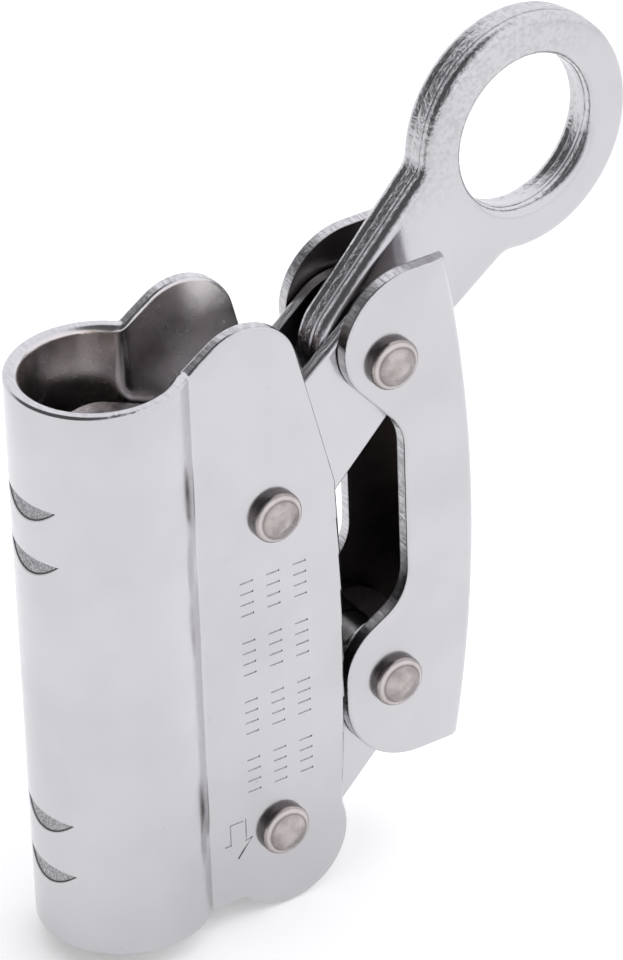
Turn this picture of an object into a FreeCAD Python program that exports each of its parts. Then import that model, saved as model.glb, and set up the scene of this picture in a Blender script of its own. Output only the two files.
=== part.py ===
import FreeCAD, Part
import math
import os

import Sketcher
from FreeCAD import Placement, Rotation, Vector

# Rope grab: a keyhole-section sheet housing that the rope runs through, two cam
# levers that press the rope against the housing's louvred wall, a link that
# ties the levers into a parallelogram, and a connector eye on the upper link pin.
#
# Frame: millimetres, +Z along the rope, origin on the rope's line at the
# housing's lower end, +X from the rope towards the levers, pins along Y.
# The pose is the closed one, with the levers raised.

DIMENSIONS = {
    # housing
    "tube_radius": 15.0,
    "housing_sheet": 2.5,
    "tube_height": 104.7,
    "cheek_half_width": 10.7,
    "crease_radius": 1.5,
    "housing_edge_round": 0.6,
    "rim_inner_round": 1.2,
    "cheek_peak_x": 27.3,
    "cheek_peak_z": 116.0,
    "cheek_peak_round": 10.3,
    "cheek_shoulder_x": 37.3,
    "cheek_shoulder_z": 75.2,
    "cheek_back_radius": 520.0,
    "cheek_foot_x": 36.8,
    "foot_lobe_x": 25.9,
    "foot_lobe_z": 7.5,
    "foot_lobe_radius": 11.6,
    # louvres pressed into the rope wall
    "louvre_depth": 2.0,
    "louvre_drop": 3.7,
    "louvre_upper_z": 85.9,
    "louvre_lower_z": 25.2,
    "louvre_pitch": 10.2,
    # generic dashes and a way-up arrow stamped in the near cheek
    "mark_depth": 0.18,
    "mark_stroke": 0.42,
    "mark_length": 2.5,
    "mark_low_z": 21.0,
    "mark_pitch": 2.1,
    "mark_column_x": 18.3,
    "mark_column_step": 5.1,
    "mark_group_size": 4.0,
    "mark_group_count": 4.0,
    "mark_group_pitch": 11.6,
    "arrow_x": 15.9,
    "arrow_tip_z": 8.9,
    "arrow_length": 7.0,
    "arrow_half_width": 2.7,
    "arrow_stem_half": 1.5,
    "arrow_barb": 3.0,
    # linkage
    "upper_pin_x": 25.4,
    "upper_pin_z": 73.1,
    "lower_pin_x": 24.6,
    "lower_pin_z": 11.6,
    "lever_length": 31.0,
    "lever_angle": 40.8,
    # cam levers
    "lever_half_width": 7.4,
    "lever_leg": 2.4,
    "lever_edge_round": 0.7,
    "nose_back": 24.0,
    "nose_rise": 10.3,
    "nose_radius": 10.4,
    "hub_radius": 10.9,
    "hub_drop": 0.7,
    "fork_radius": 9.4,
    "fork_depth_x": 8.0,
    "tooth_radius": 0.9,
    "tooth_count": 8.0,
    "tooth_step_angle": 9.5,
    # link bracket
    "link_half_width": 10.2,
    "link_sheet": 2.5,
    "link_back_x": 65.0,
    "link_back_z": 60.9,
    "link_back_radius": 255.0,
    "link_top_z": 109.0,
    "link_bottom_z": 15.7,
    "link_bend_round": 2.3,
    "link_edge_round": 0.5,
    "link_front_x": 40.3,
    "link_front_low_x": 38.7,
    "link_waist_x": 51.2,
    "link_waist_low_z": 47.25,
    "link_waist_high_z": 79.6,
    "link_neck_low_z": 40.0,
    "link_neck_high_z": 92.5,
    "link_top_round": 12.6,
    "link_bottom_round": 14.0,
    "link_neck_round": 11.0,
    "link_waist_round": 9.0,
    "link_web_top_z": 88.2,
    # connector eye
    "eye_half_thickness": 3.6,
    "eye_reach": 42.9,
    "eye_angle": 37.5,
    "eye_lobe_radius": 10.5,
    "eye_neck_radius": 14.6,
    "eye_ring_radius": 21.0,
    "eye_hole_radius": 13.4,
    "eye_neck_fillet": 4.0,
    "eye_edge_round": 1.7,
    # rivets, sleeves and washers
    "rivet_radius": 3.0,
    "running_gap": 0.06,
    "rivet_head_radius": 4.55,
    "rivet_head_rim": 1.3,
    "rivet_head_height": 2.7,
    "rivet_rim_round": 0.8,
    "sleeve_radius": 5.0,
    "end_gap": 0.2,
    "washer_radius": 6.5,
    "washer_thickness": 0.6,
}

BIG = 400.0   # longer than the whole part, for cutters


# ---------------------------------------------------------------- helpers

def make_sheet(document):
    """Put every driving dimension in a cell of its own, with its alias."""
    sheet = document.addObject("Spreadsheet::Sheet", "dims")
    for row, (alias, value) in enumerate(DIMENSIONS.items(), start=1):
        sheet.set("A%d" % row, alias)
        sheet.set("B%d" % row, str(value))
        sheet.setAlias("B%d" % row, alias)
    document.recompute()
    return sheet


def make_body(document, label):
    """A body whose label names its file."""
    body = document.addObject("PartDesign::Body", label)
    body.Label = label
    return body


def make_sketch(body, name, role="XZ_Plane"):
    """An empty sketch on one of the body's own origin planes."""
    sketch = body.newObject("Sketcher::SketchObject", name)
    plane = next(item for item in body.Origin.OriginFeatures if item.Role == role)
    sketch.AttachmentSupport = [(plane, "")]
    sketch.MapMode = "FlatFace"
    return sketch


def value_of(sketch, expression):
    """The number an expression has now."""
    return float(sketch.evalExpression(expression))


def bind(sketch, kind, expression, *where):
    """Add a dimension to the sketch and tie it to an expression."""
    number = value_of(sketch, expression)
    index = sketch.addConstraint(Sketcher.Constraint(kind, *where, number))
    sketch.setExpression("Constraints[%d]" % index, expression)


def bind_point(sketch, geometry, end, x, y):
    """Tie one point of a curve to its coordinates in the sketch."""
    bind(sketch, "DistanceX", x, -1, 1, geometry, end)
    bind(sketch, "DistanceY", y, -1, 1, geometry, end)


def arc_between(start, end, radius, turn):
    """The shorter arc from start to end; turn is +1 anticlockwise, -1 clockwise."""
    middle = (start + end) * 0.5
    chord = end - start
    across = Vector(-chord.y, chord.x, 0).normalize()
    rise = math.sqrt(radius ** 2 - (chord.Length / 2) ** 2)
    centre = middle + across * rise * turn
    crown = centre + (middle - centre).normalize() * radius
    return Part.Arc(start, crown, end)


def draw_outline(sketch, corners):
    """Draw a closed outline through corners given as (x, y) or (x, y, radius, turn).

    Every entry is an expression.  With a radius, the edge that leaves the
    corner is an arc of that radius instead of a straight line.
    """
    points = [Vector(value_of(sketch, c[0]), value_of(sketch, c[1]), 0) for c in corners]
    edges = []
    for index, corner in enumerate(corners):
        start = points[index]
        end = points[(index + 1) % len(points)]
        if len(corner) == 2:
            edges.append(sketch.addGeometry(Part.LineSegment(start, end), False))
            continue
        arc = arc_between(start, end, value_of(sketch, corner[2]), corner[3])
        edges.append(sketch.addGeometry(arc, False))
    ends = [2 if len(c) == 2 or c[3] > 0 else 1 for c in corners]
    starts = [3 - end for end in ends]
    for index, edge in enumerate(edges):
        following = (index + 1) % len(edges)
        joint = (edge, ends[index], edges[following], starts[following])
        sketch.addConstraint(Sketcher.Constraint("Coincident", *joint))
    for index, corner in enumerate(corners):
        bind_point(sketch, edges[index], starts[index], corner[0], corner[1])
        if len(corner) == 4:
            bind(sketch, "Radius", corner[2], edges[index])


def draw_circle(sketch, x, y, radius):
    """Draw a circle from expressions for its centre and radius."""
    centre = Vector(value_of(sketch, x), value_of(sketch, y), 0)
    circle = Part.Circle(centre, Vector(0, 0, 1), value_of(sketch, radius))
    index = sketch.addGeometry(circle, False)
    bind_point(sketch, index, 3, x, y)
    bind(sketch, "Radius", radius, index)


def draw_capsule(sketch, first, second):
    """Draw two circles' common hull; each is (x, y, radius) in expressions."""
    numbers = [[value_of(sketch, item) for item in circle] for circle in (first, second)]
    (ax, ay, ar), (bx, by, br) = numbers
    heading = math.atan2(by - ay, bx - ax)
    spread = math.acos((ar - br) / math.hypot(bx - ax, by - ay))
    left, right = heading + spread, heading - spread

    def on_circle(x, y, radius, angle):
        return Vector(x + radius * math.cos(angle), y + radius * math.sin(angle), 0)

    def arc(x, y, radius, start, end):
        circle = Part.Circle(Vector(x, y, 0), Vector(0, 0, 1), radius)
        return Part.ArcOfCircle(circle, start, end)

    round_a = sketch.addGeometry(arc(ax, ay, ar, left, right + 2 * math.pi), False)
    round_b = sketch.addGeometry(arc(bx, by, br, right, left), False)
    sides = []
    for angle in (left, right):
        side = Part.LineSegment(on_circle(ax, ay, ar, angle), on_circle(bx, by, br, angle))
        sides.append(sketch.addGeometry(side, False))
    upper, lower = sides
    for joint in ((round_a, 1, upper, 1), (round_a, 2, lower, 1),
                  (round_b, 2, upper, 2), (round_b, 1, lower, 2)):
        sketch.addConstraint(Sketcher.Constraint("Tangent", *joint))
    for geometry, circle in ((round_a, first), (round_b, second)):
        bind_point(sketch, geometry, 3, circle[0], circle[1])
        bind(sketch, "Radius", circle[2], geometry)


def pad(body, sketch, half_length):
    """Pad a sketch to both sides of its plane."""
    feature = body.newObject("PartDesign::Pad", sketch.Name + "_pad")
    feature.Profile = sketch
    feature.SideType = "Symmetric"
    feature.setExpression("Length", "2 * (%s)" % half_length)
    return feature


def pocket(body, sketch, half_length=None):
    """Cut a sketch to both sides of its plane, right through or to a half length."""
    feature = body.newObject("PartDesign::Pocket", sketch.Name + "_cut")
    feature.Profile = sketch
    feature.SideType = "Symmetric"
    if half_length is None:
        feature.Length = BIG
    else:
        feature.setExpression("Length", "2 * (%s)" % half_length)
    return feature


def round_edges(body, name, radius, chosen):
    """Fillet the edges of the body's tip that the test picks."""
    body.Document.recompute()
    base = body.Tip
    names = []
    for index, edge in enumerate(base.Shape.Edges, start=1):
        if chosen(edge):
            names.append("Edge%d" % index)
    if not names:
        raise RuntimeError("no edge was found for " + name)
    feature = body.newObject("PartDesign::Fillet", name)
    feature.Base = (base, names)
    feature.setExpression("Radius", radius)
    body.Document.recompute()
    return feature


def is_sharp(shape, edge, least=25.0):
    """Whether the faces beside an edge meet at more than this many degrees."""
    faces = shape.ancestorsOfType(edge, Part.Face)
    if len(faces) != 2:
        return False
    point = edge.valueAt(sum(edge.ParameterRange) / 2)
    normals = [face.normalAt(*face.Surface.parameter(point)) for face in faces]
    return math.degrees(normals[0].getAngle(normals[1])) > least


def is_bore(edge):
    """Whether an edge is the mouth of a rivet's hole."""
    box = edge.BoundBox
    widest = 2 * (DIMENSIONS["rivet_radius"] + DIMENSIONS["running_gap"]) + 0.1
    return abs(box.XLength - box.ZLength) < 0.02 and box.XLength < widest


def along_y(x, z, slack=0.3):
    """A test for straight edges that run along Y through one corner."""
    def chosen(edge):
        box = edge.BoundBox
        narrow = box.XLength < slack and box.ZLength < slack and box.YLength > slack
        return narrow and abs(box.Center.x - x) < slack and abs(box.Center.z - z) < slack
    return chosen


def check_objects(document):
    """Stop if anything in the document failed to build."""
    for item in document.Objects:
        if "Invalid" in item.State or "Error" in item.State:
            raise RuntimeError("%s is %s" % (item.Label, item.State))


# ---------------------------------------------------------------- places

UPPER_PIN = ("dims.upper_pin_x", "dims.upper_pin_z")
LOWER_PIN = ("dims.lower_pin_x", "dims.lower_pin_z")


def link_pin(pin):
    """Expressions for the outer pin of the lever that turns on a body pin."""
    reach = "%s + dims.lever_length * cos(dims.lever_angle * 1deg)"
    climb = "%s + dims.lever_length * sin(dims.lever_angle * 1deg)"
    return reach % pin[0], climb % pin[1]


def hub_centre(pin):
    """Expressions for the centre of a lever's hub, a little below the arm's line."""
    across = "%s + dims.hub_drop * sin(dims.lever_angle * 1deg)"
    down = "%s - dims.hub_drop * cos(dims.lever_angle * 1deg)"
    return across % pin[0], down % pin[1]


def nose_centre(pin):
    """Expressions for the centre of a lever's rounded nose."""
    return "%s - dims.nose_back" % pin[0], "%s + dims.nose_rise" % pin[1]


# ---------------------------------------------------------------- housing

def draw_keyhole(sketch):
    """The formed sheet's section: most of a circle, opening into two cheeks."""
    meet = "sqrt(dims.tube_radius^2 - dims.cheek_half_width^2)"
    inner_radius = "(dims.tube_radius - dims.housing_sheet)"
    inner_half = "(dims.cheek_half_width - dims.housing_sheet)"
    inner_meet = "sqrt(%s^2 - %s^2)" % (inner_radius, inner_half)
    end = "dims.cheek_shoulder_x + dims.tube_radius"
    draw_outline(sketch, [
        (end, "dims.cheek_half_width"),
        (meet, "dims.cheek_half_width", "dims.tube_radius", 1),
        ("-dims.tube_radius", "0", "dims.tube_radius", 1),
        (meet, "-dims.cheek_half_width"),
        (end, "-dims.cheek_half_width"),
        (end, "-" + inner_half),
        (inner_meet, "-" + inner_half, inner_radius, -1),
        ("-" + inner_radius, "0", inner_radius, -1),
        (inner_meet, inner_half),
        (end, inner_half),
    ])


def draw_housing_side(sketch):
    """The housing's side view, inside a frame of everything to cut away."""
    lobe_left = "dims.foot_lobe_x - sqrt(dims.foot_lobe_radius^2 - dims.foot_lobe_z^2)"
    foot_reach = "(dims.cheek_foot_x - dims.foot_lobe_x)"
    notch_z = "dims.foot_lobe_z + sqrt(dims.foot_lobe_radius^2 - %s^2)" % foot_reach
    lobe_low = "dims.foot_lobe_z - dims.foot_lobe_radius"
    crease = "sqrt(dims.tube_radius^2 - dims.cheek_half_width^2)"
    draw_outline(sketch, [
        ("-2 * dims.tube_radius", "0"),
        ("-2 * dims.tube_radius", "dims.tube_height"),
        (crease, "dims.tube_height"),
        ("dims.cheek_peak_x", "dims.cheek_peak_z"),
        ("dims.cheek_shoulder_x", "dims.cheek_shoulder_z", "dims.cheek_back_radius", -1),
        ("dims.cheek_foot_x", notch_z, "dims.foot_lobe_radius", -1),
        ("dims.foot_lobe_x", lobe_low, "dims.foot_lobe_radius", -1),
        (lobe_left, "0"),
    ])
    far = "3 * dims.tube_height"
    draw_outline(sketch, [("-" + far, "-" + far), (far, "-" + far), (far, far), ("-" + far, far)])


def draw_louvre(sketch, top, skin):
    """One louvre's wedge: flat top edge, sloping back down to the skin."""
    depth = "%s + dims.louvre_depth" % skin
    draw_outline(sketch, [
        (skin + " - dims.housing_sheet / 4", top),
        (depth, top),
        (skin, top + " - dims.louvre_drop"),
        (skin + " - dims.housing_sheet / 4", top + " - dims.louvre_drop"),
    ])


def louvre_tops():
    """Expressions for the heights of the louvres' top edges."""
    tops = []
    for group in ("dims.louvre_upper_z", "dims.louvre_lower_z"):
        tops += [group, group + " - dims.louvre_pitch"]
    return tops


def make_housing(document):
    body = make_body(document, "housing")
    section = make_sketch(body, "keyhole_section", "XY_Plane")
    draw_keyhole(section)
    pad(body, section, "3 * dims.tube_radius + dims.tube_height")

    side = make_sketch(body, "housing_side")
    draw_housing_side(side)
    pocket(body, side)

    bores = make_sketch(body, "housing_bores")
    for pin in (UPPER_PIN, LOWER_PIN):
        draw_circle(bores, pin[0], pin[1], "dims.rivet_radius")
    pocket(body, bores)

    dents = make_sketch(body, "louvre_dents")
    for top in louvre_tops():
        draw_louvre(dents, top, "-dims.tube_radius")
    pocket(body, dents)
    inner_radius = "(dims.tube_radius - dims.housing_sheet)"
    ledges = make_sketch(body, "louvre_ledges")
    for top in louvre_tops():
        draw_louvre(ledges, top, "-" + inner_radius)
    ledge_face = "(%s - dims.louvre_depth)" % inner_radius
    pad(body, ledges, "sqrt(%s^2 - %s^2)" % (inner_radius, ledge_face))

    round_housing(body)
    stamp_dashes(body)
    stamp_arrow(body)
    return body


def stamp(body, name, draw):
    """Press a sketch a little way into the outside of the near cheek."""
    sketch = make_sketch(body, name)
    sketch.setExpression("AttachmentOffset.Base.z", "dims.cheek_half_width")
    body.Document.recompute()
    draw(sketch)
    feature = body.newObject("PartDesign::Pocket", name + "_stamp")
    feature.Profile = sketch
    feature.setExpression("Length", "dims.mark_depth")
    body.Document.recompute()
    return feature


def stamp_dashes(body):
    """Three columns of plain dashes: one group of each, repeated up the cheek."""
    def draw(sketch):
        for column in range(3):
            left = "dims.mark_column_x + %d * dims.mark_column_step" % column
            right = left + " + dims.mark_length"
            for row in range(int(DIMENSIONS["mark_group_size"])):
                low = "dims.mark_low_z + %d * dims.mark_pitch" % row
                high = low + " + dims.mark_stroke"
                draw_outline(sketch, [(left, low), (right, low), (right, high), (left, high)])
    first = stamp(body, "dashes", draw)
    pattern = body.newObject("PartDesign::LinearPattern", "dash_groups")
    pattern.Originals = [first]
    pattern.Direction = (first.Profile[0], ["V_Axis"])
    pattern.Occurrences = int(DIMENSIONS["mark_group_count"])
    span = "(dims.mark_group_count - 1) * dims.mark_group_pitch"
    pattern.setExpression("Length", span)
    body.Tip = pattern
    body.Document.recompute()


def stamp_arrow(body):
    """The outline of an arrow that shows the end that hangs down."""
    def arrow(grow):
        tip = "dims.arrow_tip_z - %s" % grow
        shoulder = "dims.arrow_tip_z + dims.arrow_barb + %s / 2" % grow
        top = "dims.arrow_tip_z + dims.arrow_length + %s / 2" % grow

        def across(sign, half):
            return "dims.arrow_x %s (%s + %s / 2)" % (sign, half, grow)
        barb, stem = "dims.arrow_half_width", "dims.arrow_stem_half"
        return [
            ("dims.arrow_x", tip),
            (across("+", barb), shoulder), (across("+", stem), shoulder),
            (across("+", stem), top), (across("-", stem), top),
            (across("-", stem), shoulder), (across("-", barb), shoulder),
        ]

    def draw(sketch):
        draw_outline(sketch, arrow("dims.mark_stroke"))
        draw_outline(sketch, arrow("(-dims.mark_stroke)"))
    stamp(body, "arrow", draw)


def round_housing(body):
    """Round the cheeks' peaks, the creases, the rim and the cheeks' edges."""
    size = DIMENSIONS
    outer = size["cheek_half_width"]
    inner = outer - size["housing_sheet"]
    round_edges(body, "cheek_peaks", "dims.cheek_peak_round",
                along_y(size["cheek_peak_x"], size["cheek_peak_z"]))

    def upright_at(y):
        def chosen(edge):
            box = edge.BoundBox
            upright = box.XLength < 0.1 and box.YLength < 0.1 and box.ZLength > 50
            return upright and abs(abs(box.Center.y) - y) < 0.1
        return chosen
    round_edges(body, "outer_creases", "dims.crease_radius", upright_at(outer))
    round_edges(body, "inner_creases", "dims.crease_radius + dims.housing_sheet",
                upright_at(inner))

    def inner_rim(edge):
        box = edge.BoundBox
        level = box.ZLength < 0.05 and abs(box.Center.z - size["tube_height"]) < 0.05
        across = size["tube_radius"] < box.YLength < 2 * size["tube_radius"] - 1
        return level and across
    round_edges(body, "tube_rim", "dims.rim_inner_round", inner_rim)

    def blanked(edge):
        box = edge.BoundBox
        in_louvre = box.Center.x < 0 and 1 < box.Center.z < size["tube_height"] - 1
        across = abs(box.YLength - size["housing_sheet"]) < 0.3 and box.XLength < 0.1
        return not in_louvre and not across and not is_bore(edge)
    round_edges(body, "housing_edges", "dims.housing_edge_round",
                lambda edge: blanked(edge) and is_sharp(body.Tip.Shape, edge))


# ---------------------------------------------------------------- cam levers

def make_lever(document, label, pin):
    """A forked lever: legs from the link pin to the hub, and a solid toothed nose."""
    body = make_body(document, label)
    hub = hub_centre(pin) + ("dims.hub_radius",)
    outer = link_pin(pin)
    nose = nose_centre(pin)

    inner_arm = make_sketch(body, label + "_nose_arm")
    draw_capsule(inner_arm, (nose[0], nose[1], "dims.nose_radius"), hub)
    pad(body, inner_arm, "dims.lever_half_width")
    outer_arm = make_sketch(body, label + "_fork_arm")
    draw_capsule(outer_arm, hub, (outer[0], outer[1], "dims.fork_radius"))
    pad(body, outer_arm, "dims.lever_half_width")

    def outline(edge):
        flat = edge.BoundBox.YLength < 0.02
        return flat and is_sharp(body.Tip.Shape, edge)
    round_edges(body, label + "_edges", "dims.lever_edge_round", outline)

    fork = make_sketch(body, label + "_fork_gap")
    start = "%s + dims.fork_depth_x" % nose[0]
    low = "%s - 2 * dims.hub_radius" % pin[1]
    high = "%s + 2 * dims.hub_radius" % outer[1]
    draw_outline(fork, [(start, low), ("2 * " + "dims.link_back_x", low),
                        ("2 * " + "dims.link_back_x", high), (start, high)])
    pocket(body, fork, "dims.lever_half_width - dims.lever_leg")

    bores = make_sketch(body, label + "_bores")
    for point in (pin, outer):
        draw_circle(bores, point[0], point[1], "dims.rivet_radius + dims.running_gap")
    pocket(body, bores)

    teeth = make_sketch(body, label + "_teeth")
    for index in range(int(DIMENSIONS["tooth_count"])):
        angle = "(150deg + %d * dims.tooth_step_angle * 1deg)" % index
        draw_circle(teeth, "%s + dims.nose_radius * cos%s" % (nose[0], angle),
                    "%s + dims.nose_radius * sin%s" % (nose[1], angle), "dims.tooth_radius")
    pocket(body, teeth)
    return body


# ---------------------------------------------------------------- link bracket

def back_x(z):
    """Expression for the link's outer back face at a height."""
    drop = "(%s - dims.link_back_z)" % z
    centre = "(dims.link_back_x - dims.link_back_radius)"
    return "%s + sqrt(dims.link_back_radius^2 - %s^2)" % (centre, drop)


def draw_link_side(sketch):
    """The link's side view: two rounded ends joined by a narrow waist at the back."""
    draw_outline(sketch, [
        (back_x("dims.link_top_z"), "dims.link_top_z", "dims.link_back_radius", -1),
        (back_x("dims.link_bottom_z"), "dims.link_bottom_z"),
        ("dims.link_front_low_x", "dims.link_bottom_z"),
        ("dims.link_front_low_x", "dims.link_neck_low_z"),
        ("dims.link_waist_x", "dims.link_waist_low_z"),
        ("dims.link_waist_x", "dims.link_waist_high_z"),
        ("dims.link_front_x", "dims.link_neck_high_z"),
        ("dims.link_front_x", "dims.link_top_z"),
    ])


def draw_link_hollow(sketch):
    """Everything between the link's two side plates, in front of its back web."""
    inner_centre = "(dims.link_back_x - dims.link_back_radius)"
    inner_radius = "(dims.link_back_radius - dims.link_sheet)"
    spread = "dims.link_back_radius / 4"

    def inner_x(z):
        return "%s + sqrt(%s^2 - (%s - dims.link_back_z)^2)" % (inner_centre, inner_radius, z)
    high = "dims.link_back_z + " + spread
    low = "dims.link_back_z - " + spread
    draw_outline(sketch, [
        (inner_x("(%s)" % high), high, inner_radius, -1),
        (inner_x("(%s)" % low), low),
        ("0", low),
        ("0", high),
    ])


def make_link(document):
    body = make_body(document, "link_bracket")
    side = make_sketch(body, "link_side")
    draw_link_side(side)
    pad(body, side, "dims.link_half_width")

    hollow = make_sketch(body, "link_hollow")
    draw_link_hollow(hollow)
    inner_half = "dims.link_half_width - dims.link_sheet"
    pocket(body, hollow, inner_half)

    mouth = make_sketch(body, "link_mouth")
    front, above = "dims.link_waist_x", "2 * dims.link_top_z"
    draw_outline(mouth, [
        (front, "dims.link_web_top_z"), ("2 * dims.link_back_x", "dims.link_web_top_z"),
        ("2 * dims.link_back_x", above), (front, above),
    ])
    pocket(body, mouth, inner_half)

    bores = make_sketch(body, "link_bores")
    for pin in (UPPER_PIN, LOWER_PIN):
        x, z = link_pin(pin)
        draw_circle(bores, x, z, "dims.rivet_radius")
    pocket(body, bores)
    round_link(body)
    return body


def round_link(body):
    """Round the corners of the side plates and the outer bends along the back."""
    size = DIMENSIONS
    corners = (
        ("link_top_corner", "dims.link_top_round", "link_front_x", "link_top_z"),
        ("link_bottom_corner", "dims.link_bottom_round", "link_front_low_x", "link_bottom_z"),
        ("link_upper_neck", "dims.link_neck_round", "link_front_x", "link_neck_high_z"),
        ("link_lower_neck", "dims.link_neck_round", "link_front_low_x", "link_neck_low_z"),
        ("link_upper_waist", "dims.link_waist_round", "link_waist_x", "link_waist_high_z"),
        ("link_lower_waist", "dims.link_waist_round", "link_waist_x", "link_waist_low_z"),
    )
    for name, radius, x, z in corners:
        round_edges(body, name, radius, along_y(size[x], size[z]))

    def outer_bend(edge):
        box = edge.BoundBox
        outside = abs(abs(box.Center.y) - size["link_half_width"]) < 0.1 and box.YLength < 0.1
        return outside and box.ZLength > 10 and box.XMax > size["link_back_x"] - 1
    round_edges(body, "link_bends", "dims.link_bend_round", outer_bend)
    inner = size["link_half_width"] - size["link_sheet"]

    def outer_edge(edge):
        outside = abs(edge.BoundBox.Center.y) > inner + 0.05
        return outside and not is_bore(edge) and is_sharp(body.Tip.Shape, edge)
    round_edges(body, "link_edges", "dims.link_edge_round", outer_edge)


# ---------------------------------------------------------------- connector eye

def make_eye(document):
    """A thick ring on a tapering shank, with a hole for the upper link rivet."""
    body = make_body(document, "connector_eye")
    pin = link_pin(UPPER_PIN)
    ring = ("%s + dims.eye_reach * cos(dims.eye_angle * 1deg)" % pin[0],
            "%s + dims.eye_reach * sin(dims.eye_angle * 1deg)" % pin[1])

    shank = make_sketch(body, "eye_shank")
    draw_capsule(shank, (pin[0], pin[1], "dims.eye_lobe_radius"),
                 (ring[0], ring[1], "dims.eye_neck_radius"))
    pad(body, shank, "dims.eye_half_thickness")
    rim = make_sketch(body, "eye_ring")
    draw_circle(rim, ring[0], ring[1], "dims.eye_ring_radius")
    pad(body, rim, "dims.eye_half_thickness")

    def shoulder(edge):
        box = edge.BoundBox
        return box.XLength < 0.1 and box.ZLength < 0.1 and box.YLength > 1 and \
            box.Center.x > value_of(rim, pin[0]) + DIMENSIONS["eye_lobe_radius"]
    round_edges(body, "eye_shoulders", "dims.eye_neck_fillet", shoulder)

    holes = make_sketch(body, "eye_holes")
    draw_circle(holes, ring[0], ring[1], "dims.eye_hole_radius")
    draw_circle(holes, pin[0], pin[1], "dims.rivet_radius + dims.running_gap")
    pocket(body, holes)

    def face_edge(edge):
        box = edge.BoundBox
        on_face = box.YLength < 0.1 and \
            abs(abs(box.Center.y) - DIMENSIONS["eye_half_thickness"]) < 0.1
        return on_face and box.DiagonalLength > 4 * DIMENSIONS["rivet_radius"]
    round_edges(body, "eye_edges", "dims.eye_edge_round", face_edge)
    return body


# ---------------------------------------------------------------- pins and washers

def turned_body(document, label, at, corners):
    """Revolve a half section given as (radius, height) about an axis along Y at a pin."""
    body = make_body(document, label)
    section = make_sketch(body, label + "_section")
    draw_outline(section, corners)
    feature = body.newObject("PartDesign::Revolution", label + "_turned")
    feature.Profile = section
    feature.ReferenceAxis = (section, ["V_Axis"])
    feature.Angle = 360.0
    body.Placement = Placement(Vector(0, 0, 0), Rotation(Vector(1, 0, 0), 90))
    body.setExpression("Placement.Base.x", at[0])
    body.setExpression("Placement.Base.z", at[1])
    body.Document.recompute()
    return body


def make_rivet(document, label, at, grip):
    """A shank through both plates with a low domed head against each."""
    rim = "(%s + dims.rivet_head_rim)" % grip
    crown = "(%s + dims.rivet_head_height)" % grip
    rise = "(dims.rivet_head_height - dims.rivet_head_rim)"
    dome = "((dims.rivet_head_radius^2 + %s^2) / (2 * %s))" % (rise, rise)
    body = turned_body(document, label, at, [
        ("0", "-" + crown, dome, 1),
        ("dims.rivet_head_radius", "-" + rim),
        ("dims.rivet_head_radius", "-(%s)" % grip),
        ("dims.rivet_radius", "-(%s)" % grip),
        ("dims.rivet_radius", grip),
        ("dims.rivet_head_radius", grip),
        ("dims.rivet_head_radius", rim, dome, 1),
        ("0", crown),
    ])
    rim_height = value_of(body.Tip.Profile[0], rim)

    def head_rim(edge):
        level = abs(edge.BoundBox.Center.z)
        return abs(level - rim_height) < 0.05 and is_sharp(body.Tip.Shape, edge)
    round_edges(body, label + "_rims", "dims.rivet_rim_round", head_rim)
    return body


def make_ring(document, label, at, outer, low, high):
    """A plain ring around a rivet between two heights along its axis."""
    inner = "dims.rivet_radius + dims.running_gap"
    return turned_body(document, label, at, [
        (inner, low), (outer, low), (outer, high), (inner, high),
    ])


def make_fasteners(document):
    """The four rivets, the sleeves between the legs and the cheek washers."""
    cheek, ear = "dims.cheek_half_width", "dims.link_half_width"
    fork_half = "(dims.lever_half_width - dims.lever_leg - dims.end_gap)"
    pieces = []
    for level, pin in (("upper", UPPER_PIN), ("lower", LOWER_PIN)):
        pieces.append(make_rivet(document, level + "_body_rivet", pin, cheek))
        pieces.append(make_rivet(document, level + "_link_rivet", link_pin(pin), ear))
        pieces.append(make_ring(document, level + "_hub_sleeve", pin,
                                "dims.sleeve_radius", "-" + fork_half, fork_half))
        inner_face = "(dims.cheek_half_width - dims.housing_sheet - 0.5 * dims.end_gap)"
        hub_face = "(%s - dims.washer_thickness)" % inner_face
        for side, low, high in (("near", hub_face, inner_face),
                                ("far", "-" + inner_face, "-" + hub_face)):
            label = "%s_%s_hub_washer" % (level, side)
            pieces.append(make_ring(document, label, pin, "dims.washer_radius", low, high))
    pieces.append(make_ring(document, "lower_link_sleeve", link_pin(LOWER_PIN),
                            "dims.sleeve_radius", "-" + fork_half, fork_half))
    return pieces


# ---------------------------------------------------------------- output

def main():
    document = FreeCAD.newDocument("rope_grab")
    make_sheet(document)
    pieces = [
        make_housing(document),
        make_lever(document, "upper_cam_lever", UPPER_PIN),
        make_lever(document, "lower_cam_lever", LOWER_PIN),
        make_link(document),
        make_eye(document),
    ]
    pieces += make_fasteners(document)
    document.recompute()
    check_objects(document)
    for piece in pieces:
        if piece.Shape.isNull() or not piece.Shape.isValid():
            raise RuntimeError(piece.Label + " has no valid shape")
    os.makedirs("parts", exist_ok=True)
    for piece in pieces:
        piece.Shape.exportStep(os.path.join("parts", piece.Label + ".step"))
        box = piece.Shape.BoundBox
        print("%-24s volume %9.1f  x %7.2f %7.2f  y %7.2f %7.2f  z %7.2f %7.2f" % (
            piece.Label, piece.Shape.Volume, box.XMin, box.XMax,
            box.YMin, box.YMax, box.ZMin, box.ZMax))


main()
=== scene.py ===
import math

import bmesh
import bpy
from mathutils import Matrix, Vector, geometry


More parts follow.
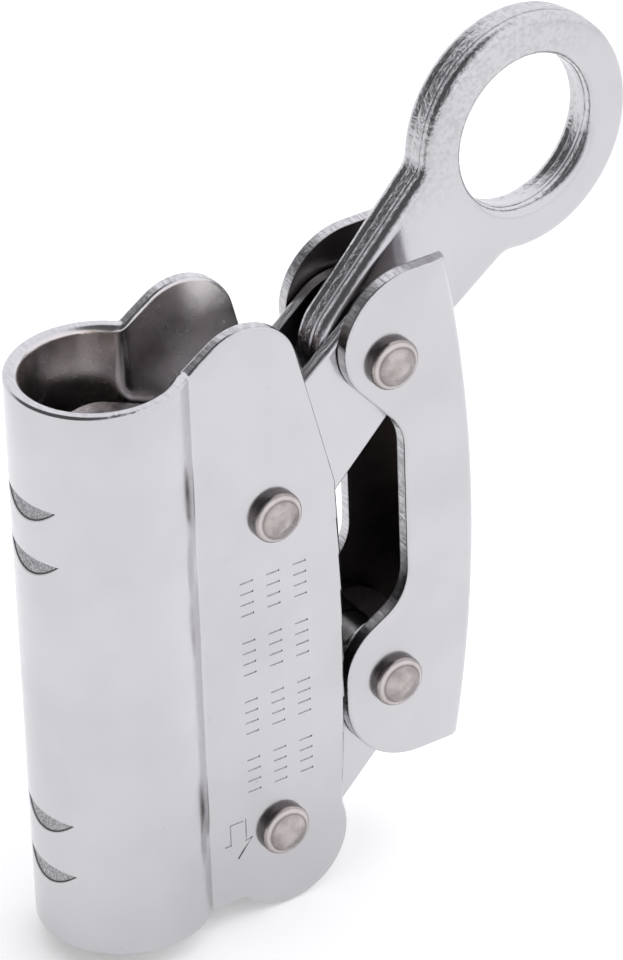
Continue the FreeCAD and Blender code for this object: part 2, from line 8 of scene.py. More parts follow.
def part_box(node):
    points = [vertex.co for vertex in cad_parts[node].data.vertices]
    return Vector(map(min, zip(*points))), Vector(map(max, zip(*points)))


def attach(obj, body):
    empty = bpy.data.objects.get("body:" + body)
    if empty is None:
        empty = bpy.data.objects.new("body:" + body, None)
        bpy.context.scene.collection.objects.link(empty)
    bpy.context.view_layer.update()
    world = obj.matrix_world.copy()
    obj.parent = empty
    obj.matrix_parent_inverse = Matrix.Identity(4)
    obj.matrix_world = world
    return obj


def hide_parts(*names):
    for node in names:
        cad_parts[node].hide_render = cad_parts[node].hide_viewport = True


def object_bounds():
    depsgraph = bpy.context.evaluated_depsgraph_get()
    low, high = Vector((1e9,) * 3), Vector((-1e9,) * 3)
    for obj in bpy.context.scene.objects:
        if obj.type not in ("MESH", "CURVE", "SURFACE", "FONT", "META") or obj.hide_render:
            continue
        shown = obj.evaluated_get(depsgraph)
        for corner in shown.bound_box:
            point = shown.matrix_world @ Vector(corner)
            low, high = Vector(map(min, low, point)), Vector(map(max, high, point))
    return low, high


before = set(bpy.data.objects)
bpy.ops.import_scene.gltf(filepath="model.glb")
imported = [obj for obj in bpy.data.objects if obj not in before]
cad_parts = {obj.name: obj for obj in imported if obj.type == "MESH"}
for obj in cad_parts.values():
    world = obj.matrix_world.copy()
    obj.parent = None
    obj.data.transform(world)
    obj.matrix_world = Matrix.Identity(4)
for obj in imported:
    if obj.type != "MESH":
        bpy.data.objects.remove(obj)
cad_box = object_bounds()

MM = 0.001

# The eye's outline and section, in millimetres about the upper link pin.
EYE_ANGLE = 37.5
EYE_REACH = 42.9
EYE_LOBE = 10.5
EYE_NECK = 14.6
EYE_RING = 21.0
EYE_HOLE = 13.4
EYE_FILLET = 4.0
EYE_PIN = 3.06
EYE_HALF = 3.6
EYE_ROUND = 1.7
EYE_DRAFT = 0.14
# The parting ridge: how far in from the widest line, and the height of each step.
EYE_RIDGE = ((0.30, -1.15), (0.27, -0.95), (0.02, -0.72), (0.0, -0.5))
# How far the eye hangs out of true in its loose fork, in degrees.
EYE_LEAN = -1.3
EYE_YAW = 4.5
# How many points each stretch of the eye's outline has.
LOBE_POINTS = 28
SHANK_POINTS = 14
FILLET_POINTS = 8
RING_POINTS = 52
HOLE_POINTS = 72
BORE_POINTS = 32

# Where looks change on the housing, in metres. A pair runs from none of the look to all
# of it, except that the louvres' heights and the facets' radii are ranges.
ON_TUBE = (0.0125, 0.0095)
ON_CHEEKS = (0.0095, 0.0125)
CHEEK_EDGES = (0.0105, 0.0125)
IN_BORE = (0.0131, 0.0122)
BETWEEN_CHEEKS = (0.0086, 0.0078)
BEHIND_ROPE = (-0.008, -0.009)
TUBE_TOP = (0.1032, 0.1041)
LOUVRE_HEIGHTS = ((0.0715, 0.0862), (0.0108, 0.0255))
FACET_RADII = (0.01265, 0.01488)
LIP_RADII = (0.01462, 0.01480)
# The press marks beside the near crease: place, half widths, then height and half length.
MARK_X = 0.0088
MARK_Y = -0.0119
MARK_HALF = (0.0022, 0.0026)
MARKS = ((0.070, 0.0075), (0.016, 0.006))

# The link's back web is an arc about this place, far behind the rope.
LINK_ARC_X = -0.190
LINK_ARC_Z = 0.0609
INSIDE_WEB = (0.2529, 0.2526)
BETWEEN_PLATES = (0.0081, 0.0076)
AHEAD_OF_WEB = (0.2515, 0.2505)
LINK_TOP = (0.0886, 0.0894)

LEVER_ANGLE = 40.8

# The eye's crown is the part above a slanting line, and above its own shank.
CROWN_SLOPE = 0.6
ABOVE_SLOPE = (0.068, 0.086)
ABOVE_SHANK = (0.107, 0.117)


# ---------------------------------------------------------------- nodes

class Graph:
    """A new material; its methods add nodes and return the socket they make."""

    def __init__(self, name):
        self.material = bpy.data.materials.new(name)
        self.material.use_nodes = True
        self.tree = self.material.node_tree
        self.shader = self.tree.nodes["Principled BSDF"]
        self.coordinates = self.tree.nodes.new("ShaderNodeTexCoord")

    def put(self, socket, value):
        """Set a socket to a number or colour, or link another socket to it."""
        if isinstance(value, bpy.types.NodeSocket):
            self.tree.links.new(value, socket)
        else:
            socket.default_value = value

    def node(self, kind, inputs=(), **settings):
        """Add a node with these settings and inputs."""
        made = self.tree.nodes.new(kind)
        for key, value in settings.items():
            setattr(made, key, value)
        for key, value in dict(inputs).items():
            self.put(made.inputs[key], value)
        return made

    def place(self):
        """The object's own coordinates, in metres."""
        return self.coordinates.outputs["Object"]

    def normal(self):
        """The direction that the surface faces."""
        return self.coordinates.outputs["Normal"]

    def parts(self, vector):
        """The x, y and z of a vector."""
        split = self.node("ShaderNodeSeparateXYZ", {0: vector})
        return split.outputs[0], split.outputs[1], split.outputs[2]

    def maths(self, operation, *values):
        """The result of one sum."""
        made = self.node("ShaderNodeMath", operation=operation)
        for index, value in enumerate(values):
            self.put(made.inputs[index], value)
        return made.outputs[0]

    def times(self, first, second):
        """Two numbers multiplied."""
        return self.maths("MULTIPLY", first, second)

    def distance(self, across, along):
        """How far away something is that is this far across and this far along."""
        squares = self.maths("ADD", self.times(across, across), self.times(along, along))
        return self.maths("SQRT", squares)

    def turned(self, vector, angle):
        """A vector turned about the pins' direction."""
        made = self.node("ShaderNodeVectorRotate", {"Vector": vector, "Angle": angle},
                         rotation_type="Y_AXIS")
        return made.outputs[0]

    def scaled(self, vector, scale, shift=(0.0, 0.0, 0.0)):
        """A vector shifted, then stretched along each axis."""
        moved = self.node("ShaderNodeVectorMath", {0: vector, 1: shift}, operation="ADD")
        made = self.node("ShaderNodeVectorMath", {0: moved.outputs[0], 1: scale}, operation="MULTIPLY")
        return made.outputs[0]

    def noise(self, vector, scale=1.0, detail=2.0, roughness=0.5, distortion=0.0):
        """A cloudy value about one half."""
        made = self.node("ShaderNodeTexNoise", {
            "Vector": vector, "Scale": scale, "Detail": detail,
            "Roughness": roughness, "Distortion": distortion})
        return made.outputs["Fac"]

    def fade(self, value, low, high, start=0.0, end=1.0):
        """Start below low and end above high, smoothly between; low may be above high."""
        if low > high:
            low, high, start, end = high, low, end, start
        made = self.node("ShaderNodeMapRange", {
            "Value": value, "From Min": low, "From Max": high, "To Min": start, "To Max": end},
            interpolation_type="SMOOTHSTEP")
        return made.outputs["Result"]

    def between(self, value, low, high, soft):
        """One between two values and zero outside, with soft shoulders."""
        rise = self.fade(value, low - soft, low + soft)
        fall = self.fade(value, high + soft, high - soft)
        return self.times(rise, fall)

    def mix(self, factor, first, second):
        """A colour between two."""
        made = self.node("ShaderNodeMix", {0: factor, 6: first, 7: second}, data_type="RGBA")
        return made.outputs[2]

    def average(self, factor, first, second):
        """A number between two."""
        made = self.node("ShaderNodeMix", {0: factor, 2: first, 3: second}, data_type="FLOAT")
        return made.outputs[0]

    def bump(self, height, distance, below=None):
        """Relief of this depth in metres, laid over any relief below."""
        made = self.node("ShaderNodeBump", {"Height": height, "Distance": distance, "Strength": 1.0})
        if below is not None:
            self.put(made.inputs["Normal"], below)
        return made.outputs["Normal"]

    def finish(self, colour, roughness, relief):
        """Link a bare metal's colour, roughness and relief to the shader."""
        self.shader.inputs["Metallic"].default_value = 1.0
        self.put(self.shader.inputs["Base Color"], colour)
        self.put(self.shader.inputs["Roughness"], roughness)
        self.put(self.shader.inputs["Normal"], relief)
        return self.material


# ---------------------------------------------------------------- metal in general

BRIGHT = (0.560, 0.552, 0.568, 1)
CLOUDED = (0.522, 0.514, 0.528, 1)
SHEARED = (0.30, 0.29, 0.29, 1)
# Painted shade for the louvres' lips.
LIP_PAINTED_SHADE = (0.06, 0.055, 0.055, 1)
# A warm tone painted lighter: painted light in the bore and between the cheeks.
WARM_PAINTED_LIT = (0.72, 0.64, 0.595, 1)
WARM_PAINTED_LIT_BRIGHTER = (0.88, 0.82, 0.775, 1)
AMBER = (0.62, 0.40, 0.27, 1)
GRIT_LIGHT = (0.62, 0.62, 0.63, 1)
GRIT_DARK = (0.30, 0.30, 0.31, 1)
# Painted shade inside the link's channel and on the rivets' shoulders.
SHADED = (0.22, 0.195, 0.19, 1)
DEEP_SHADE = (0.17, 0.145, 0.14, 1)
PIN_LIGHT = (0.47, 0.43, 0.415, 1)
PIN_DARK = (0.33, 0.295, 0.285, 1)
# Painted shade for the rivets' flanks and steps, and a painted highlight for their rims.
PIN_FLANK_SHADE = (0.13, 0.12, 0.12, 1)
PIN_STEP_SHADE = (0.16, 0.14, 0.135, 1)
PIN_RIM_HIGHLIGHT = (0.60, 0.56, 0.545, 1)
WASHER_LIGHT = (0.52, 0.51, 0.50, 1)
WASHER_DARK = (0.38, 0.37, 0.36, 1)


def scratch_lines(graph, place):
    """Fine handling scratches in two directions, from 0 to 1."""
    scratches = []
    for turn, thin, offset in ((0.5, 900.0, 3.0), (2.1, 1300.0, 7.0)):
        lines = graph.scaled(graph.turned(place, turn), (60.0, 90.0, thin), (offset, 0.0, 0.0))
        scratches.append(graph.fade(graph.noise(lines, 1.0, 1.0, 0.3), 0.76, 0.84))
    return graph.maths("MAXIMUM", *scratches)


def plating(graph, place, shift):
    """Bright plating's colour, roughness and relief: clouds, fine grain, pits and scratches."""
    moved = graph.scaled(place, (1.0, 1.0, 1.0), shift)
    clouds = graph.noise(moved, 45.0, 3.0, 0.55)
    colour = graph.mix(graph.fade(clouds, 0.35, 0.70), BRIGHT, CLOUDED)
    grain = graph.noise(moved, 1700.0, 3.0, 0.6)
    blotch = graph.noise(moved, 240.0, 3.0, 0.6)
    pits = graph.fade(graph.noise(moved, 900.0, 2.0, 0.5), 0.735, 0.80)
    colour = graph.mix(graph.times(pits, 0.4), colour, SHEARED)
    scratched = scratch_lines(graph, moved)
    rough = graph.fade(blotch, 0.3, 0.75, 0.15, 0.235)
    rough = graph.maths("ADD", rough, graph.times(grain, 0.03))
    rough = graph.average(scratched, rough, 0.25)
    waves = graph.noise(moved, 75.0, 1.0, 0.4)
    relief = graph.bump(waves, 0.000045)
    relief = graph.bump(grain, 0.0000035, relief)
    relief = graph.bump(graph.maths("ADD", pits, scratched), -0.000006, relief)
    return colour, rough, relief


def sheared(graph, place, mask, colour, rough, relief, along=(1300.0, 260.0, 1300.0)):
    """Torn metal where a sheet was cut: dark streaks across the cut's width."""
    streaks = graph.noise(graph.scaled(place, along), 1.0, 4.0, 0.65, 0.6)
    torn = graph.times(mask, graph.fade(streaks, 0.42, 0.62))
    colour = graph.mix(graph.times(torn, 0.5), colour, SHEARED)
    rough = graph.average(mask, rough, graph.fade(streaks, 0.3, 0.7, 0.10, 0.26))
    relief = graph.bump(graph.times(mask, streaks), 0.00011, relief)
    return colour, rough, relief


def facing_side(graph):
    """How squarely a surface faces along the pins, from 0 to 1."""
    return graph.maths("ABSOLUTE", graph.parts(graph.normal())[1])


def facing_level(graph):
    """How squarely a surface faces up or down, from 0 to 1."""
    return graph.maths("ABSOLUTE", graph.parts(graph.normal())[2])


# ---------------------------------------------------------------- the housing's looks

def painted_inner_light(graph, place, on_tube, colour, rough):
    """Painted light: a warm tone painted lighter in the bore and between the cheeks, with amber stains at
    the bore's top.
    """
    x, y, z = graph.parts(place)
    inside = graph.times(graph.fade(graph.distance(x, y), *IN_BORE), on_tube)
    between = graph.times(graph.fade(graph.maths("ABSOLUTE", y), *BETWEEN_CHEEKS),
                          graph.fade(x, *ON_CHEEKS))
    within = graph.maths("MAXIMUM", inside, between)
    stain_and_painted_mottle = graph.noise(place, 130.0, 3.0, 0.6)
    painted_tone = graph.mix(graph.fade(stain_and_painted_mottle, 0.3, 0.7), WARM_PAINTED_LIT, WARM_PAINTED_LIT_BRIGHTER)
    amber = graph.times(graph.fade(z, *TUBE_TOP), graph.fade(stain_and_painted_mottle, 0.50, 0.62))
    painted_tone = graph.mix(graph.times(amber, inside), painted_tone, AMBER)
    # painted light: the bore and the gap between the cheeks are coloured lighter and warmer than the
    # plating
    colour = graph.mix(graph.times(within, 0.9), colour, painted_tone)
    rough = graph.average(within, rough, graph.fade(stain_and_painted_mottle, 0.3, 0.7, 0.24, 0.36))
    return colour, rough


def housing_cuts(graph, x, on_tube):
    """The cut edges of the cheeks, and more faintly the tube's rims."""
    cheek_cut = graph.times(graph.fade(facing_side(graph), 0.8, 0.35), graph.fade(x, *CHEEK_EDGES))
    rim_cut = graph.times(graph.fade(facing_level(graph), 0.75, 0.97), on_tube)
    return graph.maths("MAXIMUM", cheek_cut, graph.times(rim_cut, 0.45))


def louvre_facets(graph, place, colour, rough, relief):
    """The louvres' torn, gritty facets, with painted shade along the lip where they leave the skin."""
    x, y, z = graph.parts(place)
    radius = graph.distance(x, y)
    bands = [graph.between(z, low, high, 0.0002) for low, high in LOUVRE_HEIGHTS]
    at_louvre = graph.times(graph.maths("ADD", *bands), graph.fade(x, *BEHIND_ROPE))
    facet = graph.times(graph.between(radius, *FACET_RADII, 0.00005), at_louvre)
    grit = graph.noise(place, 2600.0, 3.0, 0.7)
    colour = graph.mix(facet, colour, graph.mix(graph.fade(grit, 0.35, 0.65), GRIT_LIGHT, GRIT_DARK))
    rough = graph.average(facet, rough, 0.42)
    relief = graph.bump(graph.times(facet, grit), 0.00009, relief)
    # painted shade: a dark line along each facet's lip, where shadow falls in the crease
    lip_painted_shade = graph.times(graph.fade(radius, *LIP_RADII), facet)
    return graph.mix(lip_painted_shade, colour, LIP_PAINTED_SHADE), rough, relief


def press_marks(graph, place, relief):
    """Two shallow press marks beside the near crease."""
    for height, length in MARKS:
        stretch = (1 / MARK_HALF[0], 1 / MARK_HALF[1], 1 / length)
        offset = graph.scaled(place, stretch, (-MARK_X, -MARK_Y, -height))
        away = graph.node("ShaderNodeVectorMath", {0: offset}, operation="LENGTH").outputs["Value"]
        relief = graph.bump(graph.fade(away, 1.0, 0.0), -0.00022, relief)
    return relief


def housing_material():
    """Plated sheet with the tube's draw lines, painted light in the bore, cut edges, louvres and press
    marks.
    """
    graph = Graph("plated_sheet_housing")
    place = graph.place()
    x = graph.parts(place)[0]
    colour, rough, relief = plating(graph, place, (0.0, 0.0, 0.0))
    on_tube = graph.fade(x, *ON_TUBE)
    drawn = graph.noise(graph.scaled(place, (700.0, 700.0, 5.0)), 1.0, 3.0, 0.6)
    relief = graph.bump(graph.times(on_tube, drawn), 0.000006, relief)
    colour, rough = painted_inner_light(graph, place, on_tube, colour, rough)
    cut = housing_cuts(graph, x, on_tube)
    colour, rough, relief = sheared(graph, place, cut, colour, rough, relief)
    colour, rough, relief = louvre_facets(graph, place, colour, rough, relief)
    return graph.finish(colour, rough, press_marks(graph, place, relief))


# ---------------------------------------------------------------- the other pieces' looks

def link_material():
    """Plated sheet, with painted shade inside the channel, torn at its cut edges."""
    graph = Graph("plated_sheet_link")
    place = graph.place()
    x, y, z = graph.parts(place)
    colour, rough, relief = plating(graph, place, (0.31, 0.12, 0.44))
    depth = graph.distance(graph.maths("SUBTRACT", x, LINK_ARC_X), graph.maths("SUBTRACT", z, LINK_ARC_Z))
    hollow = graph.times(graph.fade(graph.maths("ABSOLUTE", y), *BETWEEN_PLATES),
                         graph.fade(depth, *INSIDE_WEB))
    # painted shade: the inside of the channel is coloured dark, mottled
    stain_and_painted_mottle = graph.noise(place, 140.0, 3.0, 0.6)
    painted_tone = graph.mix(graph.fade(stain_and_painted_mottle, 0.3, 0.7), DEEP_SHADE, SHADED)
    colour = graph.mix(hollow, colour, painted_tone)
    rough = graph.average(hollow, rough, 0.34)
    ends = graph.maths("MAXIMUM", graph.fade(facing_level(graph), 0.7, 0.9), graph.fade(z, *LINK_TOP))
    edges = graph.maths("MAXIMUM", graph.fade(depth, *AHEAD_OF_WEB), ends)
    cut = graph.times(graph.fade(facing_side(graph), 0.8, 0.35), edges)
    return graph.finish(*sheared(graph, place, cut, colour, rough, relief))


def lever_material():
    """Plated forging, with streaks along the lever on its edges."""
    graph = Graph("plated_forging_lever")
    place = graph.place()
    colour, rough, relief = plating(graph, place, (0.72, 0.35, 0.08))
    cut = graph.fade(facing_side(graph), 0.75, 0.35)
    level_place = graph.turned(place, math.radians(LEVER_ANGLE))
    along = (200.0, 1100.0, 1100.0)
    return graph.finish(*sheared(graph, level_place, cut, colour, rough, relief, along))


def crown_mask(graph, place):
    """The upper side of the eye's ring, from 0 to 1."""
    x, _, z = graph.parts(place)
    above = graph.maths("SUBTRACT", z, graph.times(x, CROWN_SLOPE))
    return graph.times(graph.fade(above, *ABOVE_SLOPE), graph.fade(z, *ABOVE_SHANK))


def eye_material():
    """Plated forging, scaly on the flanks and hammered on the crown."""
    graph = Graph("plated_forging_eye")
    place = graph.place()
    colour, rough, relief = plating(graph, place, (0.15, 0.63, 0.27))
    flank = graph.fade(facing_side(graph), 0.80, 0.40)
    scale = graph.noise(place, 900.0, 4.0, 0.65, 0.4)
    rough = graph.average(flank, rough, graph.fade(scale, 0.3, 0.7, 0.07, 0.16))
    relief = graph.bump(graph.times(flank, scale), 0.00014, relief)
    crown = crown_mask(graph, place)
    hammered = graph.noise(place, 1100.0, 3.0, 0.6)
    relief = graph.bump(graph.times(crown, hammered), 0.00013, relief)
    tarnish = graph.times(crown, graph.fade(hammered, 0.42, 0.62))
    colour = graph.mix(graph.times(tarnish, 0.28), colour, SHEARED)
    rough = graph.average(graph.times(crown, 0.6), rough, 0.27)
    pocked = graph.times(flank, graph.fade(scale, 0.56, 0.66))
    colour = graph.mix(graph.times(pocked, 0.6), colour, SHEARED)
    return graph.finish(colour, rough, relief)


def rivet_colour(graph, radius, blotch):
    """Blotched steel with painted shade on the flank and the shoulder, painted shade in the step and a
    painted highlight on the rim.
    """
    colour = graph.mix(graph.fade(blotch, 0.34, 0.66), PIN_LIGHT, PIN_DARK)
    # painted shade: the head's flank is coloured dark
    colour = graph.mix(graph.fade(facing_side(graph), 0.5, 0.2), colour, PIN_FLANK_SHADE)
    # painted shade: the dome is coloured darker towards its edge
    shoulder = graph.fade(radius, 0.0022, 0.0038)
    colour = graph.mix(graph.times(shoulder, 0.35), colour, SHADED)
    # painted shade: a dark ring in the step
    step_shade = graph.between(radius, 0.0032, 0.0035, 0.0001)
    colour = graph.mix(graph.times(step_shade, 0.5), colour, PIN_STEP_SHADE)
    # painted highlight: a light ring on the rim
    rim_highlight = graph.between(radius, 0.0036, 0.0041, 0.0001)
    return graph.mix(graph.times(rim_highlight, 0.7), colour, PIN_RIM_HIGHLIGHT)


def rivet_relief(graph, place, radius, blotch):
    """A soft crest with a dimple at its centre, over fine grain, with faint turned rings."""
    relief = graph.bump(blotch, 0.00012)
    relief = graph.bump(graph.noise(place, 1500.0, 3.0, 0.6), 0.000012, relief)
    relief = graph.bump(graph.fade(radius, 0.0036, 0.0010), 0.00045, relief)
    relief = graph.bump(graph.fade(radius, 0.0011, 0.0003), -0.00010, relief)
    rings = graph.maths("SINE", graph.times(radius, 16000.0))
    return graph.bump(rings, 0.000004, relief)


def rivet_material(node):
    """Softly blotched steel for one rivet, centred on its own axis."""
    graph = Graph("rivet_steel_" + node)
    low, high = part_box(node)
    centre = [(a + b) / 2 for a, b in zip(low, high)]
    place = graph.scaled(graph.place(), (1.0, 1.0, 1.0), (-centre[0], 0.0, -centre[2]))
    x, _, z = graph.parts(place)
    radius = graph.distance(x, z)
    own_part = graph.scaled(place, (1.0, 1.0, 1.0), (centre[2], 0.0, centre[0]))
    blotch = graph.noise(own_part, 300.0, 3.0, 0.55)
    rough = graph.fade(blotch, 0.3, 0.7, 0.20, 0.32)
    relief = rivet_relief(graph, place, radius, blotch)
    return graph.finish(rivet_colour(graph, radius, blotch), rough, relief)


def washer_material():
    """Plain blotched steel with a grain along the pins' direction."""
    graph = Graph("washer_steel")
    place = graph.place()
    blotch = graph.noise(place, 260.0, 3.0, 0.6)
    colour = graph.mix(graph.fade(blotch, 0.3, 0.7), WASHER_LIGHT, WASHER_DARK)
    grain = graph.noise(graph.scaled(place, (500.0, 90.0, 500.0)), 1.0, 3.0, 0.6)
    rough = graph.fade(grain, 0.3, 0.7, 0.24, 0.38)
    return graph.finish(colour, rough, graph.bump(grain, 0.00003))


def wear(piece, material):
    """Give an object one material."""
    piece.data.materials.clear()
    piece.data.materials.append(material)


def dress_frame():
    """Give each carried-over node its material."""
    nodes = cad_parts
    wear(nodes["housing"], housing_material())
    wear(nodes["link_bracket"], link_material())
    lever = lever_material()
    washer = washer_material()
    for name, piece in nodes.items():
        if name.endswith("_lever"):
            wear(piece, lever)
        elif name.endswith("_rivet"):
            wear(piece, rivet_material(name))
        elif name.endswith("_washer") or name.endswith("_sleeve"):
            wear(piece, washer)


# ---------------------------------------------------------------- connector eye

def arc_points(centre, radius, start, end, count):
    """Points along an arc, without its last one."""
    points = []
    for index in range(count):
        angle = start + (end - start) * index / count
        points.append((centre[0] + radius * math.cos(angle), centre[1] + radius * math.sin(angle)))
    return points


def line_points(start, end, count):
    """Points along a line, without its last one."""
    points = []
    for index in range(count):
        share = index / count
        points.append(tuple(a + (b - a) * share for a, b in zip(start, end)))
    return points


def eye_outline(inset):
    """The eye's outer outline moved inwards, from the pin's lobe round the ring and back."""
    lobe = EYE_LOBE - inset
    ring = EYE_RING - inset
    fillet = EYE_FILLET + inset
    # the shank's side touches the lobe and a neck-sized circle about the ring's centre
    lean = math.acos((EYE_LOBE - EYE_NECK) / EYE_REACH)
    across = Vector((math.cos(lean), math.sin(lean)))
    along = Vector((math.sin(lean), -math.cos(lean)))
    hub = Vector((EYE_REACH, 0.0))
    # the fillet touches that side and the ring's outside
    base = across * (lobe + fillet) - hub
    half = base.dot(along)
    travel = -half - math.sqrt(half ** 2 - base.length_squared + (ring + fillet) ** 2)
    centre = across * (lobe + fillet) + along * travel
    foot = centre - across * fillet
    toward = hub - centre
    turn_start = math.atan2(-across.y, -across.x) + 2 * math.pi
    turn_end = math.atan2(toward.y, toward.x) + 2 * math.pi
    meet = -toward
    upper = arc_points((0.0, 0.0), lobe, math.pi, lean, LOBE_POINTS)
    upper += line_points(tuple(across * lobe), tuple(foot), SHANK_POINTS)
    upper += arc_points(tuple(centre), fillet, turn_start, turn_end, FILLET_POINTS)
    upper += arc_points(tuple(hub), ring, math.atan2(meet.y, meet.x), 0.0, RING_POINTS)
    lower = [(x, -y) for x, y in reversed(upper[1:])]
    return upper + [(EYE_REACH + ring, 0.0)] + lower


def eye_section():
    """Insets and heights from face to face: rounded, drawn in a little, with a parting ridge."""
    section = []
    for index in range(7):
        angle = math.radians(15 * index)
        section.append((EYE_DRAFT + EYE_ROUND * (1 - math.sin(angle)),
                        -EYE_HALF + EYE_ROUND * (1 - math.cos(angle))))
    section += EYE_RIDGE
    return section + [(inset, -height) for inset, height in reversed(section)]


def eye_layers():
    """For each step of the section, the outline, the ring's hole and the pin's bore."""
    layers = []
    for inset, height in eye_section():
        outline = eye_outline(inset)
        hole = arc_points((EYE_REACH, 0.0), EYE_HOLE + inset, 0.0, 2 * math.pi, HOLE_POINTS)
        bore = arc_points((0.0, 0.0), EYE_PIN, 0.0, 2 * math.pi, BORE_POINTS)
        layers.append([[(x, height, z) for x, z in loop] for loop in (outline, hole, bore)])
    return layers


def side_faces(loops, first, per_layer):
    """The quads from one layer's loops to the next layer's."""
    faces = []
    for order, loop in enumerate(loops):
        size = len(loop)
        for index in range(size):
            following = (index + 1) % size
            quad = (first + index, first + following,
                    first + following + per_layer, first + index + per_layer)
            faces.append(quad if order else quad[::-1])
        first += size
    return faces


def eye_mesh():
    """The eye as stacked outlines between two faces that each have two holes."""
    layers = eye_layers()
    points = [point for layer in layers for loop in layer for point in loop]
    loops = layers[0]
    per_layer = sum(len(loop) for loop in loops)
    last = len(layers) - 1
    faces = []
    for layer in range(last):
        faces += side_faces(loops, layer * per_layer, per_layer)
    caps = geometry.tessellate_polygon([[Vector((x, z, 0.0)) for x, _, z in loop] for loop in loops])
    for layer in (0, last):
        faces += [tuple(layer * per_layer + corner for corner in cap) for cap in caps]
    mesh = bpy.data.meshes.new("eye_ring")
    mesh.from_pydata([Vector(point) * MM for point in points], [], faces)
    return mesh


def tidy_normals(mesh):
    """Turn every face outwards and shade the curved ones smooth."""
    work = bmesh.new()
    work.from_mesh(mesh)
    bmesh.ops.recalc_face_normals(work, faces=work.faces)
    work.to_mesh(mesh)
    work.free()
    mesh.shade_smooth()
    mesh.set_sharp_from_angle(angle=math.radians(32))


def make_eye():
    """The forged eye, hanging a little out of true on the upper link pin."""
    low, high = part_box("upper_link_rivet")
    pin = Vector([(a + b) / 2 for a, b in zip(low, high)])
    mesh = eye_mesh()
    upright = Matrix.Rotation(math.radians(-EYE_ANGLE), 4, "Y")
    lean = Matrix.Rotation(math.radians(EYE_LEAN), 4, "X")
    yaw = Matrix.Rotation(math.radians(EYE_YAW), 4, "Z")
    mesh.transform(Matrix.Translation(pin) @ yaw @ lean @ upright)
    tidy_normals(mesh)
    eye = bpy.data.objects.new("forged_eye", mesh)
    bpy.context.scene.collection.objects.link(eye)
    weighted = eye.modifiers.new("weighted", "WEIGHTED_NORMAL")
    weighted.keep_sharp = True
    wear(eye, eye_material())
    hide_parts("connector_eye")
    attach(eye, "eye")


# ---------------------------------------------------------------- studio

# The camera's azimuth, elevation and roll in degrees, and what it looks at in metres.
CAMERA_ANGLES = (-31.9, 32.68, -2.03)
CAMERA_TARGET = (0.0481, 0.0141, 0.0583)
CAMERA_DISTANCE = 1.1075
CAMERA_LENS = 249.2

TENT_WHITE = (1.0, 1.0, 1.045, 1)
TENT_OPENING = (0.10, 0.10, 0.105, 1)
TOWARDS_OPENING = (-0.707, 0.0, 0.707)
OPENING_EDGE = (0.45, 0.70)

FLOOR_HALF = 4.0
FLOOR_DROP = 0.0002


def camera_axes(azimuth, elevation, roll):
    """Right, up and back directions of a camera at these angles in degrees."""
    a, e, r = (math.radians(v) for v in (azimuth, elevation, roll))
    back = Vector((math.sin(a) * math.cos(e), -math.cos(a) * math.cos(e), math.sin(e)))
    side = Vector((math.cos(a), math.sin(a), 0.0))
    over = back.cross(side)
    right = side * math.cos(r) + over * math.sin(r)
    up = over * math.cos(r) - side * math.sin(r)
    return right, up, back


def make_camera():
    """A long lens above the near cheek, a little to the rope's side."""
    right, up, back = camera_axes(*CAMERA_ANGLES)
    place = Vector(CAMERA_TARGET) + back * CAMERA_DISTANCE
    data = bpy.data.cameras.new("camera")
    data.lens = CAMERA_LENS
    data.sensor_width = 36.0
    data.sensor_fit = "AUTO"
    data.clip_end = 10.0
    camera = bpy.data.objects.new("camera", data)
    turn = Matrix((right, up, back)).transposed().to_4x4()
    camera.matrix_world = Matrix.Translation(place) @ turn
    bpy.context.scene.collection.objects.link(camera)
    bpy.context.scene.camera = camera


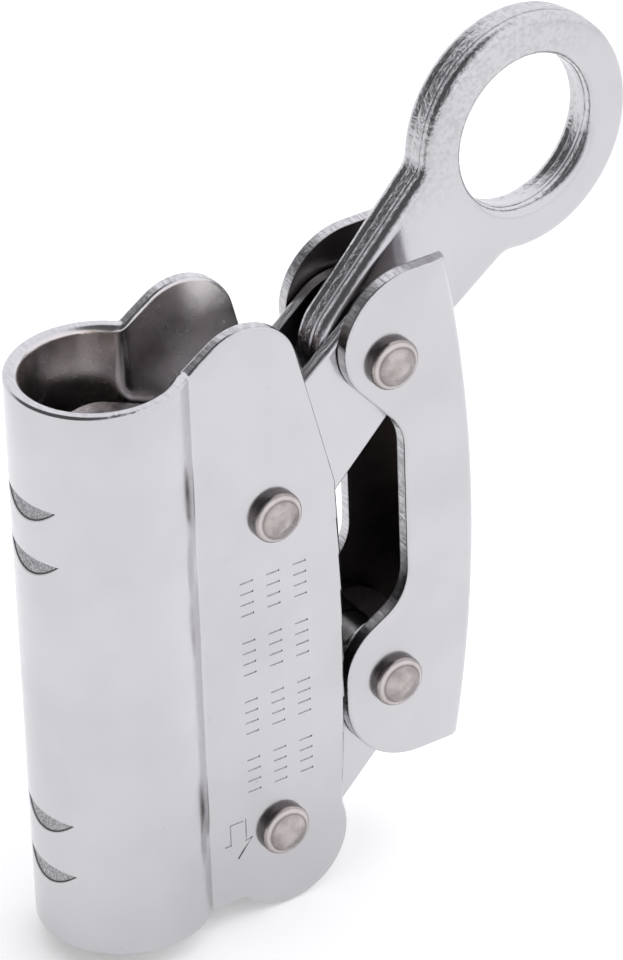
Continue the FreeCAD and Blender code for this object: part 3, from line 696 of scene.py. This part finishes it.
def make_world():
    """A white tent, dark where it opens above the rope's side."""
    world = bpy.data.worlds.new("studio")
    bpy.context.scene.world = world
    world.use_nodes = True
    tree = world.node_tree
    place = tree.nodes.new("ShaderNodeTexCoord")
    dot = tree.nodes.new("ShaderNodeVectorMath")
    dot.operation = "DOT_PRODUCT"
    dot.inputs[1].default_value = TOWARDS_OPENING
    edge = tree.nodes.new("ShaderNodeMapRange")
    edge.interpolation_type = "SMOOTHSTEP"
    edge.inputs["From Min"].default_value = OPENING_EDGE[0]
    edge.inputs["From Max"].default_value = OPENING_EDGE[1]
    mix = tree.nodes.new("ShaderNodeMix")
    mix.data_type = "RGBA"
    mix.inputs[6].default_value = TENT_WHITE
    mix.inputs[7].default_value = TENT_OPENING
    tree.links.new(place.outputs["Generated"], dot.inputs[0])
    tree.links.new(dot.outputs["Value"], edge.inputs["Value"])
    tree.links.new(edge.outputs["Result"], mix.inputs[0])
    background = tree.nodes["Background"]
    tree.links.new(mix.outputs[2], background.inputs["Color"])
    background.inputs["Strength"].default_value = 1.25


def make_overhead():
    """A wide soft light that whitens the floor and leaves no image in the metal."""
    data = bpy.data.lights.new("overhead", "AREA")
    data.shape = "SQUARE"
    data.size = 1.6
    data.energy = 6.0
    light = bpy.data.objects.new("overhead", data)
    light.location = (0.05, 0.0, 1.1)
    light.visible_glossy = False
    bpy.context.scene.collection.objects.link(light)


def floor_material():
    """A matt white that glows a little, so that the background reads white."""
    material = bpy.data.materials.new("floor")
    material.use_nodes = True
    shader = material.node_tree.nodes["Principled BSDF"]
    shader.inputs["Base Color"].default_value = (0.95, 0.95, 0.95, 1)
    shader.inputs["Roughness"].default_value = 0.9
    shader.inputs["Specular IOR Level"].default_value = 0.0
    shader.inputs["Emission Color"].default_value = (1.0, 1.0, 1.0, 1)
    shader.inputs["Emission Strength"].default_value = 0.27
    return material


def make_floor():
    """A wide floor just under the object."""
    half = FLOOR_HALF
    level = cad_box[0][2] - FLOOR_DROP
    corners = [(-half, -half, level), (half, -half, level), (half, half, level), (-half, half, level)]
    mesh = bpy.data.meshes.new("floor")
    mesh.from_pydata(corners, [], [(0, 1, 2, 3)])
    floor = bpy.data.objects.new("floor", mesh)
    bpy.context.scene.collection.objects.link(floor)
    mesh.materials.append(floor_material())


# ---------------------------------------------------------------- the scene

bpy.context.scene.view_settings.view_transform = "Standard"
make_camera()
make_world()
make_overhead()
make_floor()
dress_frame()
make_eye()
